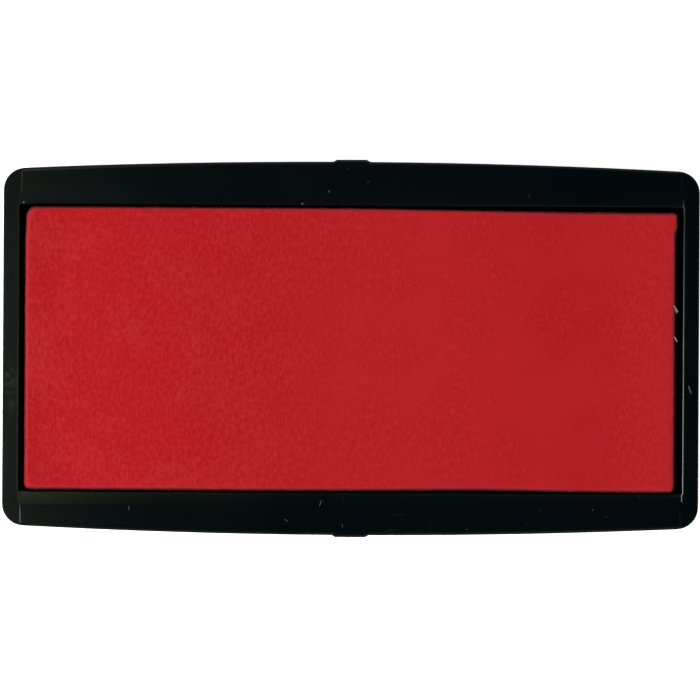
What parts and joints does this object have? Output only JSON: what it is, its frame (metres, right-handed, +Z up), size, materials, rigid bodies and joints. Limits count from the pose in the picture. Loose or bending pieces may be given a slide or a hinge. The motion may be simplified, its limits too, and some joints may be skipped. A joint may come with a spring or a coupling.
{
  "type": "ink pad cassette",
  "caption": "Flat black moulded ink cassette for a self-inking stamp, with bowed long sides, lowered end rails and a block of red inked felt in a rectangular pocket.",
  "frame": {"origin": "centre of the tray's outline, on the face that it rests on", "axes": "+X along the cassette's length, +Y across it, +Z up, out of the inked face"},
  "size_m": [0.0698, 0.0378, 0.0072],
  "materials": {
    "tray_plastic": "satin black, injection moulded",
    "face_felt": "fine calendered felt, damp with red ink",
    "reservoir_felt": "thick felt, soaked with red ink",
    "film": "thin double-sided adhesive film"
  },
  "bodies": {
    "root": {"cassette_tray": "tray_plastic", "pad_face": "face_felt", "pad_reservoir": "reservoir_felt", "adhesive_film": "film"}
  },
  "joints": []
}
